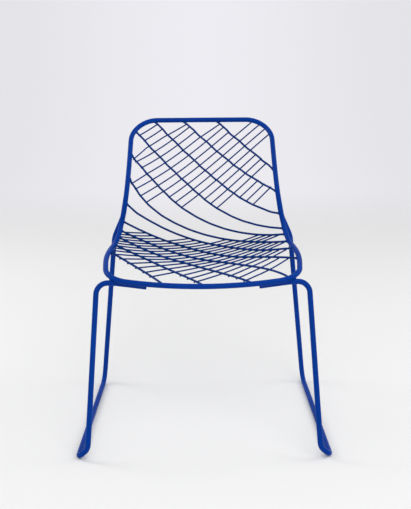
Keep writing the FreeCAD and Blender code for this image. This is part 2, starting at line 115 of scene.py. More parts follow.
def travel(places: list[float], slopes: tuple[float, ...], along: float) -> float:
    """Sideways travel from the front rail's line.

    Args:
        places: Rising places along the panel.
        slopes: Sideways travel for each step along, at those places.
        along: How far to go.

    Returns:
        The travel in millimetres.
    """
    total = 0.0
    for index in range(TRAVEL_STEPS):
        mid = along * (index + 0.5) / TRAVEL_STEPS
        low = 0
        while low < len(places) - 2 and mid > places[low + 1]:
            low += 1
        share = (mid - places[low]) / (places[low + 1] - places[low])
        share = min(max(share, 0.0), 1.0)
        total += (slopes[low] + (slopes[low + 1] - slopes[low]) * share) * along / TRAVEL_STEPS
    return total


def find_root(function: Callable[[float], float], low: float, high: float) -> float:
    """Find where a function changes sign.

    Args:
        function: A function with one change of sign between low and high.
        low: Lower end of the search.
        high: Upper end of the search.

    Returns:
        The place of the change.
    """
    sign = function(low) > 0.0
    for _ in range(HALVINGS):
        mid = (low + high) / 2.0
        if (function(mid) > 0.0) == sign:
            low = mid
        else:
            high = mid
    return (low + high) / 2.0


def bent_line(corners: list[Vector], radii: list[float], turn_step: float = 5.0) -> list[Vector]:
    """Points along straight runs joined by round bends.

    Args:
        corners: Ends and corners of the runs.
        radii: Bend radius at each inner corner.
        turn_step: Degrees of turn for each point of a bend.

    Returns:
        The points, from the first corner to the last.
    """
    line = [corners[0].copy()]
    for before, corner, after, radius in zip(corners, corners[1:], corners[2:], radii):
        back = (before - corner).normalized()
        ahead = (after - corner).normalized()
        turn = math.pi - back.angle(ahead)
        if turn < STRAIGHT_TURN:
            continue
        tangent = radius * math.tan(turn / 2.0)
        centre = corner + (back + ahead).normalized() * (radius / math.cos(turn / 2.0))
        first = corner + back * tangent - centre
        count = max(3, int(math.degrees(turn) / turn_step) + 1)
        normal = first.cross(corner + ahead * tangent - centre).normalized()
        for index in range(count + 1):
            line.append(centre + Matrix.Rotation(turn * index / count, 3, normal) @ first)
    line.append(corners[-1].copy())
    return line


def set_values(node: bpy.types.Node, values: dict[str | int, object]) -> None:
    """Give a node's inputs, by name or number, their default values."""
    for socket, value in values.items():
        node.inputs[socket].default_value = value


def add_node(
    tree: bpy.types.NodeTree, kind: str, values: dict[str | int, object] | None = None, **settings: object
) -> bpy.types.Node:
    """Add a node to a tree.

    Args:
        tree: The tree.
        kind: Type of the node.
        values: Default value for each named or numbered input.
        settings: The node's own settings, made before the values.

    Returns:
        The node.
    """
    node = tree.nodes.new(kind)
    for setting, choice in settings.items():
        setattr(node, setting, choice)
    set_values(node, values or {})
    return node


def join(tree: bpy.types.NodeTree, *links: tuple[bpy.types.Node, str, bpy.types.Node, str | int]) -> None:
    """Link nodes of a tree. Each link names a node, its output, the node it goes to and that node's input."""
    for source, output, target, place in links:
        tree.links.new(source.outputs[output], target.inputs[place])


def add_group(
    name: str, kind: str, inputs: dict[str, str], outputs: dict[str, str]
) -> tuple[bpy.types.NodeTree, bpy.types.Node, bpy.types.Node]:
    """Make a node group with named sockets.

    Args:
        name: Name of the group.
        kind: Type of the tree.
        inputs: Socket type of each input.
        outputs: Socket type of each output.

    Returns:
        The tree, its input node and its output node.
    """
    tree = bpy.data.node_groups.new(name, kind)
    for way, sockets in (("INPUT", inputs), ("OUTPUT", outputs)):
        for label, sort in sockets.items():
            tree.interface.new_socket(label, in_out=way, socket_type="NodeSocket" + sort)
    return tree, add_node(tree, "NodeGroupInput"), add_node(tree, "NodeGroupOutput")


@dataclass
class Panel:
    """The bent and dished surface that the wires lie on. Its sizes are millimetres and degrees."""

    # The middle line: the seat's run, the bend at the waist and the back's run.
    seat_height: float = 414.3
    seat_slope: float = 0.0
    seat_run: float = 230.0
    waist_radius: float = 168.0
    back_recline: float = 28.6
    back_run: float = 296.5
    toe_setback: float = 127.0
    shift: float = 0.0

    # Half width and dish at five stations, each given in shares of the three runs.
    half_widths: tuple[float, ...] = (248.0, 257.0, 234.2, 212.4, 205.0)
    dishes: tuple[float, ...] = (19.8, 42.0, 50.2, 91.9, 23.5)
    station_shares: tuple[tuple[float, float, float], ...] = (
        (0.0, 0.0, 0.0), (0.6, 0.0, 0.0), (1.0, 0.6, 0.0), (1.0, 1.0, 0.25), (1.0, 1.0, 1.0)
    )

    # How far past the two rails the ends of a wire are looked for, as a share of the panel's length.
    margin_share: float = 0.03

    # The rim's rails and corners, and how finely they are drawn.
    front_bow: float = 7.6
    top_bow: float = 8.8
    front_corner_radius: float = 51.5
    top_corner_radius: float = 73.0
    rail_steps: int = 14
    side_steps: int = 72
    corner_step: int = 6
    corner_rounds: int = 8

    # The long wires: where the first meets the top rail, the steps between them, and their sideways drift.
    first_long_wire: float = 48.9
    wire_steps: tuple[float, ...] = (
        0.227, 0.235, 0.24, 0.245, 0.257, 0.196, 0.246, 0.24, 0.265, 0.291, 0.25
    )
    drifts: tuple[float, ...] = (0.314, 0.708, 1.074, 2.859, 1.099, 0.929)
    drift_shares: tuple[tuple[float, float, float], ...] = (
        (-0.26, 0.0, 0.0), (0.25, 0.0, 0.0), (0.8, 0.0, 0.0),
        (1.0, 0.5, 0.0), (1.0, 1.0, 0.2), (1.0, 1.0, 1.2)
    )

    # How far each long wire strays from its row at its two ends and at the waist, as shares of a reach.
    upper_strays: tuple[float, ...] = (
        0.02, -0.05, 0.02, 0.08, 0.1, 0.2, 0.14, -0.07, -0.03, 0.03, -0.01, -0.12
    )
    lower_strays: tuple[float, ...] = (
        -0.14, 0.05, 0.13, -0.08, 0.03, 0.06, -0.13, 0.05, -0.04, 0.06, -0.01, -0.02
    )
    waist_strays: tuple[float, ...] = (
        0.0, 0.0, 0.0, -0.05, 0.1, 0.24, 0.16, 0.08, 0.0, 0.05, 0.0, 0.0
    )
    stray_reach: float = 110.0
    waist_stray_share: float = 0.45
    waist_stray_spread: float = 0.3

    # The cross wires: the back's lean and bow, and the seat's sweep out towards its front corner.
    back_cross_offset: float = 125.9
    back_cross_pitch: float = 34.68
    back_cross_lean: float = 1.18
    back_cross_bow: float = 4.6
    seat_cross_offset: float = 849.0
    seat_cross_pitch: float = 45.92
    sweep_shares: tuple[float, ...] = (0.0, 0.26, 0.52, 0.83, 1.09, 1.35, 1.74)
    sweeps: tuple[float, ...] = (1.12, 1.04, 1.03, 1.36, 2.18, 4.46, 3.9)
    side_sweep: float = 0.34
    side_start_share: float = 0.53
    side_end_share: float = 0.93

    def __post_init__(self) -> None:
        """Work out the lengths that follow from the sizes."""
        self.slope = math.radians(self.seat_slope)
        self.bend = self.waist_radius * (math.radians(90.0 - self.back_recline) + self.slope)
        self.length = self.seat_run + self.bend + self.back_run
        self.back_start = self.seat_run + self.bend
        self.stations = [self.along(*shares) for shares in self.station_shares]
        self.sweep_places = [share * self.seat_run for share in self.sweep_shares]
        self.side_start = self.side_start_share * self.half_widths[1]
        self.side_end = self.side_end_share * self.seat_run
        self.drift_places = [self.along(*shares) for shares in self.drift_shares]
        self.drift_whole = travel(self.drift_places, self.drifts, self.length)
        self.waist_middle = self.along(1.0, self.waist_stray_share)
        self.waist_spread = self.waist_stray_spread * self.waist_radius
        margin = self.margin_share * self.length
        self.span = -margin, self.length + margin
        self.row_ends = {
            number: self.rim_ends(partial(self.row_across, number), *self.span)
            for number in range(1, len(self.upper_strays) + 1)
        }

    def along(self, seat: float, bend: float, back: float = 0.0) -> float:
        """Place along the panel, from shares of the seat's run, the bend's and the back's."""
        return seat * self.seat_run + bend * self.bend + back * self.back_run

    def half_width(self, along: float) -> float:
        """Half width of the panel."""
        return blend(self.stations, self.half_widths, along)

    def drawn_place(self, across: float, along: float) -> Vector:
        """Point of the panel in the drawing's millimetres.

        Args:
            across: Distance from the middle plane.
            along: Distance from the front rail's line, over the seat and up the back.

        Returns:
            The point, with the chair's own shift to the origin applied.
        """
        flat = min(along, self.seat_run)
        bend = min(max(along - self.seat_run, 0.0), self.bend)
        rise = max(along - self.back_start, 0.0)
        angle = bend / self.waist_radius - self.slope
        radius = self.waist_radius
        y = self.toe_setback + flat * math.cos(self.slope) + radius * (math.sin(angle) + math.sin(self.slope))
        z = self.seat_height - flat * math.sin(self.slope) - radius * (math.cos(angle) - math.cos(self.slope))
        share = across / self.half_width(along)
        lift = blend(self.stations, self.dishes, along) * share * share
        y += rise * math.cos(angle) - lift * math.sin(angle) + self.shift
        z += rise * math.sin(angle) + lift * math.cos(angle)
        return Vector((across, y, z))

    def place(self, across: float, along: float) -> Vector:
        """Point of the panel in metres."""
        return self.drawn_place(across, along) * MM

    def upward(self, across: float, along: float) -> Vector:
        """Normal of the panel on the side that is sat on.

        Args:
            across: Distance from the middle plane.
            along: Distance along the panel.

        Returns:
            The normal, of length one.
        """
        step = 0.5
        sideways = self.place(across + step, along) - self.place(across - step, along)
        onward = self.place(across, along + step) - self.place(across, along - step)
        return sideways.cross(onward).normalized()

    def front_line(self, across: float) -> float:
        """The front rail's place along the panel."""
        share = across / self.half_widths[0]
        return -self.front_bow * (1.0 - share * share)

    def top_line(self, across: float) -> float:
        """The top rail's place along the panel."""
        share = across / self.half_widths[-1]
        return self.length + self.top_bow * (1.0 - share * share)

    def inset(self, across: float, along: float) -> float:
        """Distance inside the rim's centre line, on the flat panel.

        Args:
            across: Distance from the middle plane.
            along: Distance along the panel.

        Returns:
            The distance, negative outside.
        """
        side = self.half_width(along) - abs(across)
        rails = (
            (self.top_line(across) - along, self.top_corner_radius),
            (along - self.front_line(across), self.front_corner_radius),
        )
        depths = []
        for rail, radius in rails:
            if side < radius and rail < radius:
                depths.append(radius - math.hypot(radius - side, radius - rail))
            else:
                depths.append(min(side, rail))
        return min(depths)

    def corner_place(self, turn: float, top: bool) -> tuple[float, float]:
        """Place on a rounded corner of the right half.

        Args:
            turn: Degrees round the corner, from the side to the rail.
            top: True for the top corner, False for the front one.

        Returns:
            The place across and along.
        """
        radius = self.top_corner_radius if top else self.front_corner_radius
        from_side = radius * (1.0 - math.cos(math.radians(turn)))
        from_rail = radius * (1.0 - math.sin(math.radians(turn)))
        across = self.half_widths[0] - from_side
        along = 0.0
        for _ in range(self.corner_rounds):
            along = self.top_line(across) - from_rail if top else self.front_line(across) + from_rail
            across = self.half_width(along) - from_side
        return across, along

    def rim_places(self) -> list[tuple[float, float]]:
        """Places round the rim, from the middle of the front rail to the right, up and back.

        Returns:
            The closed loop of places across and along.
        """
        front_corner = [self.corner_place(turn, False) for turn in range(90, -1, -self.corner_step)]
        top_corner = [self.corner_place(turn, True) for turn in range(0, 91, self.corner_step)]
        half = []
        for index in range(1, self.rail_steps):
            across = front_corner[0][0] * index / self.rail_steps
            half.append((across, self.front_line(across)))
        half.extend(front_corner)
        low = front_corner[-1][1]
        high = top_corner[0][1]
        for index in range(1, self.side_steps):
            along = low + (high - low) * index / self.side_steps
            half.append((self.half_width(along), along))
        half.extend(top_corner)
        for index in range(self.rail_steps - 1, 0, -1):
            across = top_corner[-1][0] * index / self.rail_steps
            half.append((across, self.top_line(across)))
        mirrored = [(-across, along) for across, along in reversed(half)]
        return [(0.0, self.front_line(0.0))] + half + [(0.0, self.top_line(0.0))] + mirrored

    def long_across(self, number: int, along: float) -> float:
        """Where a long wire is across the panel.

        Args:
            number: The long wire, counted from the right.
            along: Distance along the panel.

        Returns:
            The distance from the middle plane.
        """
        low, high = self.row_ends[number]
        upper = max(along - high + self.stray_reach, 0.0) / self.stray_reach
        lower = max(low + self.stray_reach - along, 0.0) / self.stray_reach
        stray = self.upper_strays[number - 1] * upper * upper + self.lower_strays[number - 1] * lower * lower
        from_waist = (along - self.waist_middle) / self.waist_spread
        stray += self.waist_strays[number - 1] * math.exp(-from_waist * from_waist)
        return self.row_across(number, along) + stray * self.stray_reach

    def row_across(self, number: int, along: float) -> float:
        """Where a long wire would be across the panel if it kept to its row."""
        start = self.first_long_wire - 2.0 * self.half_widths[-1] * sum(self.wire_steps[:number - 1])
        return start + self.drift_whole - travel(self.drift_places, self.drifts, along)

    def back_cross_across(self, number: int, along: float) -> float:
        """Where a cross wire of the back is across the panel.

        Args:
            number: The cross wire, counted from the left.
            along: Distance along the panel.

        Returns:
            The distance from the middle plane.
        """
        start = self.back_cross_pitch * (number - 1) - self.back_cross_offset
        below = along - self.length
        bow = self.back_cross_bow * (below / self.back_run) * (below / self.back_run)
        return start + self.back_cross_lean * below - bow

    def seat_cross_across(self, number: int, along: float) -> float:
        """Where a cross wire of the seat is across the panel.

        Args:
            number: The cross wire, counted from the left.
            along: Distance along the panel.

        Returns:
            The distance from the middle plane.
        """
        start = self.seat_cross_pitch * (number - 1) - self.seat_cross_offset
        across = start + travel(self.sweep_places, self.sweeps, along)
        aside = max(across - self.side_start, 0.0) * max(1.0 - along / self.side_end, 0.0)
        return across + self.side_sweep * aside

    def rim_ends(self, across_at: Callable[[float], float], low: float, high: float) -> tuple[float, float]:
        """First and last place of a wire inside the rim, going out both ways from where it is deepest inside.

        Args:
            across_at: Where the wire is across the panel, for a place along it.
            low: Where to start the search along the panel.
            high: Where to end it.

        Returns:
            The two places along the panel.
        """
        count = RIM_SEARCH_STEPS
        step = (high - low) / count

        def depth(along: float) -> float:
            """Distance of the wire inside the rim."""
            return self.inset(across_at(along), along)

        depths = [depth(low + step * index) for index in range(count + 1)]
        first = last = depths.index(max(depths))
        while first > 0 and depths[first - 1] > 0.0:
            first -= 1
        while last < count and depths[last + 1] > 0.0:
            last += 1
        start = find_root(depth, low + step * (first - 1), low + step * first)
        end = find_root(depth, low + step * last, low + step * (last + 1))
        return start, end


@dataclass(frozen=True)
class CoatFinish:
    """Blue powder coat: a fine orange peel under a soft sheen, a little deeper in tone in patches."""

    name: str
    colour: tuple[float, float, float]
    deep_colour: tuple[float, float, float]
    roughness: float = 0.34
    sheen_level: float = 0.05
    refraction: float = 1.5
    peel_scale: float = 620.0
    peel_depth: float = 0.22
    bump_distance: float = 0.00012
    tone_scale: float = 9.0

    def build(self) -> bpy.types.Material:
        """Make the material.

        Returns:
            The material, with its surface effect from the shared group.
        """
        material = bpy.data.materials.new(self.name)
        material.use_nodes = True
        tree = material.node_tree
        shader = tree.nodes["Principled BSDF"]
        set_values(shader, {
            "Roughness": self.roughness, "Specular IOR Level": self.sheen_level, "IOR": self.refraction
        })
        where = add_node(tree, "ShaderNodeTexCoord")
        scales = {"Peel Scale": self.peel_scale, "Tone Scale": self.tone_scale, "Roughness": self.roughness}
        surface = add_node(tree, "ShaderNodeGroup", scales, node_tree=CoatSurface.group())
        colours = {"A": (*self.colour, 1.0), "B": (*self.deep_colour, 1.0)}
        colour = add_node(tree, "ShaderNodeMix", colours, data_type="RGBA")
        bump = add_node(tree, "ShaderNodeBump", {"Strength": self.peel_depth, "Distance": self.bump_distance})
        join(
            tree,
            (where, "Object", surface, "Place"),
            (surface, "Tone", colour, "Factor"),
            (colour, "Result", shader, "Base Color"),
            (surface, "Roughness", shader, "Roughness"),
            (surface, "Height", bump, "Height"),
            (bump, "Normal", shader, "Normal"),
        )
        return material


class CoatSurface:
    """The powder coat's surface, shared by the rods, the wires and the welds."""

    NAME = "Powder coat surface"
    PEEL_DETAIL = 2.0
    TONE_DETAIL = 3.0
    TONE_RANGE = {"From Min": 0.35, "From Max": 0.68}
    ROUGHNESS_DRIFT = 0.08

    @classmethod
    def group(cls) -> bpy.types.ShaderNodeTree:
        """Make the node group once.

        Returns:
            The group, with the height of the orange peel, the tone and the roughness as outputs.
        """
        known = bpy.data.node_groups.get(cls.NAME)
        if known:
            return known
        tree, inward, outward = add_group(
            cls.NAME,
            "ShaderNodeTree",
            {"Place": "Vector", "Peel Scale": "Float", "Tone Scale": "Float", "Roughness": "Float"},
            {"Height": "Float", "Tone": "Float", "Roughness": "Float"},
        )
        peel = cls.noise(tree, inward, "Peel Scale", cls.PEEL_DETAIL)
        tone = cls.noise(tree, inward, "Tone Scale", cls.TONE_DETAIL)
        spread = add_node(tree, "ShaderNodeMapRange", cls.TONE_RANGE)
        drift = add_node(tree, "ShaderNodeMath", {1: cls.ROUGHNESS_DRIFT}, operation="MULTIPLY_ADD")
        join(
            tree,
            (peel, "Fac", outward, "Height"),
            (tone, "Fac", spread, "Value"),
            (spread, "Result", outward, "Tone"),
            (spread, "Result", drift, 0),
            (inward, "Roughness", drift, 2),
            (drift, "Value", outward, "Roughness"),
        )
        return tree

    @staticmethod
    def noise(
        tree: bpy.types.ShaderNodeTree, inward: bpy.types.Node, scale: str, detail: float
    ) -> bpy.types.Node:
        """Add noise on the piece's own coordinates.

        Args:
            tree: The group's tree.
            inward: The group's input node.
            scale: The named input that the scale comes from.
            detail: How many finer layers it has.

        Returns:
            The noise node.
        """
        node = add_node(tree, "ShaderNodeTexNoise", {"Detail": detail})
        join(tree, (inward, "Place", node, "Vector"), (inward, scale, node, "Scale"))
        return node


class GeometryTools:
    """Geometry node trees that turn lines into rods and wires, and points into weld nuggets."""

    ROD_TREE = "Rod along a line"
    NUGGET_TREE = "Nugget at each point"
    THICKNESS = "thickness"
    SHARP_ANGLE = 50.0
    BALL_LEVELS = 2

    @classmethod
    def rod_tree(cls) -> bpy.types.GeometryNodeTree:
        """Make the tree that sweeps a round section along a line.

        Returns:
            The tree, with the radius, the number of sides and the material as inputs.
        """
        known = bpy.data.node_groups.get(cls.ROD_TREE)
        if known:
            return known
        tree, inward, outward = add_group(
            cls.ROD_TREE,
            "GeometryNodeTree",
            {"Geometry": "Geometry", "Radius": "Float", "Sides": "Int", "Material": "Material"},
            {"Geometry": "Geometry"},
        )
        line = add_node(tree, "GeometryNodeMeshToCurve")
        section = add_node(tree, "GeometryNodeCurvePrimitiveCircle")
        thickness = add_node(
            tree, "GeometryNodeInputNamedAttribute", {"Name": cls.THICKNESS}, data_type="FLOAT"
        )
        sweep = add_node(tree, "GeometryNodeCurveToMesh", {"Fill Caps": True})
        join(
            tree,
            (inward, "Geometry", line, "Mesh"),
            (inward, "Radius", section, "Radius"),
            (inward, "Sides", section, "Resolution"),
            (line, "Curve", sweep, "Curve"),
            (section, "Curve", sweep, "Profile Curve"),
            (thickness, "Attribute", sweep, "Scale"),
        )
        cls.finish_tree(tree, sweep, "Mesh", inward, outward)
        return tree

    @classmethod
    def nugget_tree(cls) -> bpy.types.GeometryNodeTree:
        """Make the tree that puts a small ball of weld metal at each point.

        Returns:
            The tree, with the radius and the material as inputs.
        """
        known = bpy.data.node_groups.get(cls.NUGGET_TREE)
        if known:
            return known
        tree, inward, outward = add_group(
            cls.NUGGET_TREE,
            "GeometryNodeTree",
            {"Geometry": "Geometry", "Radius": "Float", "Material": "Material"},
            {"Geometry": "Geometry"},
        )
        ball = add_node(tree, "GeometryNodeMeshIcoSphere", {"Subdivisions": cls.BALL_LEVELS})
        spread = add_node(tree, "GeometryNodeInstanceOnPoints")
        join(
            tree,
            (inward, "Radius", ball, "Radius"),
            (inward, "Geometry", spread, "Points"),
            (ball, "Mesh", spread, "Instance"),
        )
        cls.finish_tree(tree, spread, "Instances", inward, outward)
        return tree

    @staticmethod
    def finish_tree(
        tree: bpy.types.GeometryNodeTree,
        maker: bpy.types.Node,
        output: str,
        inward: bpy.types.Node,
        outward: bpy.types.Node,
    ) -> None:
        """End a tree in real geometry with its material.

        Args:
            tree: The tree to finish.
            maker: The node that holds what the tree has made.
            output: The output it holds it in.
            inward: The tree's input node.
            outward: The tree's output node.
        """
        real = add_node(tree, "GeometryNodeRealizeInstances")
        dress = add_node(tree, "GeometryNodeSetMaterial")
        join(
            tree,
            (maker, output, real, "Geometry"),
            (real, "Geometry", dress, "Geometry"),
            (inward, "Material", dress, "Material"),
            (dress, "Geometry", outward, "Geometry"),
        )

    @classmethod
    def apply(
        cls,
        name: str,
        base: bpy.types.Mesh,
        tree: bpy.types.GeometryNodeTree,
        values: dict[str, object],
    ) -> bpy.types.Object:
        """Run a tree on a base mesh and keep the result as a plain mesh.

        Args:
            name: Name of the finished piece.
            base: The line or the points that the tree starts from.
            tree: The geometry node tree.
            values: Input name to value.

        Returns:
            The finished object, at the origin.
        """
        holder = bpy.data.objects.new(name + "_base", base)
        bpy.context.scene.collection.objects.link(holder)
        modifier = holder.modifiers.new(tree.name, "NODES")
        modifier.node_group = tree
        for socket in tree.interface.items_tree:
            if socket.in_out == "INPUT" and socket.name in values:
                modifier[socket.identifier] = values[socket.name]
        graph = bpy.context.evaluated_depsgraph_get()
        mesh = bpy.data.meshes.new_from_object(holder.evaluated_get(graph))
        holder.modifiers.remove(modifier)
        bpy.data.objects.remove(holder)
        mesh.name = name
        piece = bpy.data.objects.new(name, mesh)
        bpy.context.scene.collection.objects.link(piece)
        mesh.shade_smooth()
        mesh.set_sharp_from_angle(angle=math.radians(cls.SHARP_ANGLE))
        return piece

    @classmethod
    def rod(
        cls,
        name: str,
        line: list[Vector],
        diameter: float,
        material: bpy.types.Material,
        sides: int,
        closed: bool = False,
        thickness: list[float] | None = None,
    ) -> bpy.types.Object:
        """Make a round rod or wire along a line.

        Args:
            name: Name of the piece.
            line: Points of the centre line, in metres.
            diameter: Diameter in metres.
            material: Its finish.
            sides: Number of sides of the round section.
            closed: True for a closed loop.
            thickness: Share of the full diameter at each point.

        Returns:
            The piece.
        """
        base = bpy.data.meshes.new(name + "_line")
        count = len(line)
        edges = [(index, index + 1) for index in range(count - 1)]
        if closed:
            edges.append((count - 1, 0))
        base.from_pydata(line, edges, [])
        shares = base.attributes.new(cls.THICKNESS, "FLOAT", "POINT")
        shares.data.foreach_set("value", thickness or [1.0] * count)
        values = {"Radius": diameter / 2.0, "Sides": sides, "Material": material}
        return cls.apply(name, base, cls.rod_tree(), values)

    @classmethod
    def nuggets(
        cls, name: str, points: list[Vector], radius: float, material: bpy.types.Material
    ) -> bpy.types.Object:
        """Make small balls of weld metal at points.

        Args:
            name: Name of the piece.
            points: The middles of the balls, in metres.
            radius: Their radius in metres.
            material: Their finish.

        Returns:
            The piece.
        """
        base = bpy.data.meshes.new(name + "_points")
        base.from_pydata(points, [], [])
        return cls.apply(name, base, cls.nugget_tree(), {"Radius": radius, "Material": material})


def settle(piece: bpy.types.Object, slot: Slot, *nodes: str) -> None:
    """Hand a finished piece to the frame.

    Args:
        piece: The finished piece.
        slot: The record's slot for its finish; not used.
        nodes: The solids that it stands for.
    """
    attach(piece, BODY)
    if nodes:
        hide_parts(*nodes)
    LOG.info("%s: %d faces", piece.name, len(piece.data.polygons))


def eased(line: list[Vector], reach: float, share: float) -> tuple[list[Vector], list[float]]:
    """Soften the square cut ends of a wire.

    Args:
        line: Points of the centre line.
        reach: How far the softening runs in from each end.
        share: Share of the diameter that is left at the very end.

    Returns:
        The line with a point added near each end, and the share of the diameter at each point.
    """
    first = line[0] + (line[1] - line[0]).normalized() * reach
    last = line[-1] + (line[-2] - line[-1]).normalized() * reach
    points = [line[0], first] + line[1:-1] + [last, line[-1]]
    return points, [share] + [1.0] * (len(points) - 2) + [share]


@dataclass
class ShellRim:
    """The closed loop of rod round the seat and the back, drawn fuller than its gauge by its coat."""

    panel: Panel
    diameter: float = 13.0
    fullness: float = 1.2
    sides: int = 28
    line: list[Vector] = field(default_factory=list)

    def __post_init__(self) -> None:
        """Trace the rim's centre line."""
        self.line = [self.panel.place(across, along) for across, along in self.panel.rim_places()]

    def distance(self, point: Vector) -> float:
        """Distance from a point to the rim's centre line."""
        return (self.nearest(point) - point).length

    def nearest(self, point: Vector) -> Vector:
        """Nearest place on the rim's centre line.

        Args:
            point: Any point, in metres.

        Returns:
            The nearest place.
        """
        count = len(self.line)
        index = min(range(count), key=lambda k: (self.line[k] - point).length_squared)
        best = self.line[index]
        for other in (index - 1, (index + 1) % count):
            run = self.line[other] - self.line[index]
            share = min(max((point - self.line[index]).dot(run) / run.length_squared, 0.0), 1.0)
            candidate = self.line[index] + run * share
            if (candidate - point).length < (best - point).length:
                best = candidate
        return best

    def build(self, coat: bpy.types.Material) -> None:
        """Make the rim.

        Args:
            coat: Its finish.
        """
        diameter = (self.diameter + self.fullness) * MM
        piece = GeometryTools.rod("rim_rod", self.line, diameter, coat, self.sides, closed=True)
        settle(piece, Slot.ROD, "shell_rim")


@dataclass
class LegFrame:
    """One bent rod: under the front rail, down the front leg, along the floor and up beside the rim."""

    panel: Panel
    rim: ShellRim
    side: Side

    # The rod and its corners. foot_reach and ankle_drop are the scene's alone: they put the front foot
    # further forward and its bend lower than in the solid, as the photograph shows them.
    diameter: float = 13.0
    weld_clearance: float = 0.15
    toe_half_spread: float = 318.4
    heel_half_spread: float = 300.4
    runner_length: float = 481.0
    shin_half_spread: float = 293.4
    shin_height: float = 35.7
    shin_reach: float = 6.0
    foot_reach: float = 12.6
    ankle_drop: float = 5.3
    knee_half_spread: float = 273.0
    knee_rise: float = 7.0
    knee_setback: float = 10.0
    grip_outer: float = 222.0
    grip_inner: float = 145.0
    hip_half_spread: float = 252.4
    hip_rise: float = 48.7
    hip_setback: float = 316.0
    brace_low: float = 384.0
    brace_high: float = 452.0
    bends: tuple[float, ...] = (40.0, 30.0, 24.0, 16.0, 34.0, 60.0, 60.0)
    brace_splay: float = 0.05
    touch_rounds: int = 6
    touch_tries: int = 12
    cut_reach: float = 0.6
    cut_share: float = 0.9
    sides: int = 28

    # The weld beads. Each has a name, the first corner of the run it lies on, and its two shares of the run.
    bead_diameter: float = 4.6
    bead_offset: float = 4.3
    bead_fill: float = 0.9
    bead_ripple: float = 0.12
    bead_ripple_turn: float = 2.1
    bead_least: float = 0.35
    bead_growth: float = 0.3
    bead_steps: int = 26
    bead_sides: int = 12
    beads: tuple[tuple[str, int, float, float], ...] = (
        ("grip_inner_weld", 0, 0.05, 0.35),
        ("grip_outer_weld", 0, 0.65, 0.95),
        ("brace_low_weld", -2, 0.08, 0.4),
        ("brace_high_weld", -2, 0.66, 0.97),
    )

    def seated(self, run: list[Vector], direction: Vector) -> list[Vector]:
        """Move a straight run away from the rim until it just touches.

        Args:
            run: The two ends of the run, in metres.
            direction: The way to move it.

        Returns:
            The two ends in place.
        """
        need = (self.diameter + self.weld_clearance) * MM
        for _ in range(self.touch_rounds):
            tries = [run[0].lerp(run[1], k / self.touch_tries) for k in range(self.touch_tries + 1)]
            closest = min(self.rim.distance(point) for point in tries)
            run = [point + direction * (need - closest) for point in run]
        return run

    def corners(self) -> list[Vector]:
        """Corners of the rod's centre line.

        Returns:
            The corners in metres, from the end under the front rail to the end beside the rim.
        """
        sign = self.side.value
        panel = self.panel
        gap = (self.diameter + self.weld_clearance) * MM
        under = Vector((0.0, 1.0, -1.0)).normalized()
        aside = Vector((sign * self.brace_splay, 1.0, 0.0)).normalized()
        grip = [
            panel.place(sign * across, panel.front_line(across)) + under * gap
            for across in (self.grip_inner, self.grip_outer)
        ]
        brace = [
            panel.place(sign * panel.half_width(along), along) + aside * gap
            for along in (self.brace_low, self.brace_high)
        ]

        def at(across: float, y: float, z: float) -> Vector:
            """Point in metres from the drawing's distances behind the toe."""
            return Vector((sign * across, y + panel.shift, z)) * MM

        floor = self.diameter / 2.0
        front = panel.toe_setback + self.knee_setback
        return [
            *self.seated(grip, under),
            at(self.knee_half_spread, front, panel.seat_height + self.knee_rise),
            at(self.shin_half_spread, -self.shin_reach - self.foot_reach, self.shin_height - self.ankle_drop),
            at(self.toe_half_spread, -self.foot_reach, floor),
            at(self.heel_half_spread, self.runner_length, floor),
            at(self.hip_half_spread, panel.toe_setback + self.hip_setback, panel.seat_height + self.hip_rise),
            *self.seated(brace, aside),
        ]

    def front_most(self) -> float:
        """How far forward the solid's rod reaches. The chair's shift follows the solid, not the scene's foot.

        Returns:
            The foremost place, in the drawing's millimetres.
        """
        panel = self.panel
        radius = self.diameter / 2.0
        knee_y = panel.toe_setback + self.knee_setback
        knee = Vector((self.knee_half_spread, knee_y, panel.seat_height + self.knee_rise))
        shin = Vector((self.shin_half_spread, -self.shin_reach, self.shin_height))
        toe = Vector((self.toe_half_spread, 0.0, radius))
        return min(point.y for point in bent_line([knee, shin, toe], [self.bends[2]], 1.0)) - radius

    def groove_bead(self, name: str, start: Vector, end: Vector, coat: bpy.types.Material) -> None:
        """Lay a rippled weld bead in each groove between the rod and the rim.

        Args:
            name: Name of the beads.
            start: Where they start, on the rod's centre line.
            end: Where they end.
            coat: The finish over them.
        """
        for flank in (-1.0, 1.0):
            count = self.bead_steps
            line = []
            shares = []
            for index in range(count + 1):
                point = start.lerp(end, index / count)
                across = self.rim.nearest(point) - point
                groove = across.cross(end - start).normalized() * flank
                line.append(point + across * 0.5 + groove * self.bead_offset * MM)
                ripple = self.bead_fill + self.bead_ripple * math.sin(index * self.bead_ripple_turn)
                taper = min(1.0, self.bead_least + self.bead_growth * min(index, count - index))
                shares.append(ripple * taper)
            label = "%s_%s" % (name, "upper" if flank > 0.0 else "lower")
            diameter = self.bead_diameter * MM
            bead = GeometryTools.rod(label, line, diameter, coat, self.bead_sides, thickness=shares)
            settle(bead, Slot.ROD)

    def build(self, coat: bpy.types.Material) -> None:
        """Make the rod and its welds to the rim.

        Args:
            coat: The finish over both.
        """
        word = self.side.name.lower()
        corners = self.corners()
        radii = [bend * MM for bend in self.bends]
        line, shares = eased(bent_line(corners, radii), self.cut_reach * MM, self.cut_share)
        # The fuller rod is raised, so that it stands on the floor and not in it.
        rise = Vector((0.0, 0.0, self.rim.fullness / 2.0 * MM))
        line = [point + rise for point in line]
        diameter = (self.diameter + self.rim.fullness) * MM
        piece = GeometryTools.rod(word + "_leg_rod", line, diameter, coat, self.sides, thickness=shares)
        settle(piece, Slot.ROD, word + "_leg_frame")
        for name, run, first, last in self.beads:
            start, end = corners[run], corners[run + 1]
            self.groove_bead(word + "_" + name, start.lerp(end, first), start.lerp(end, last), coat)


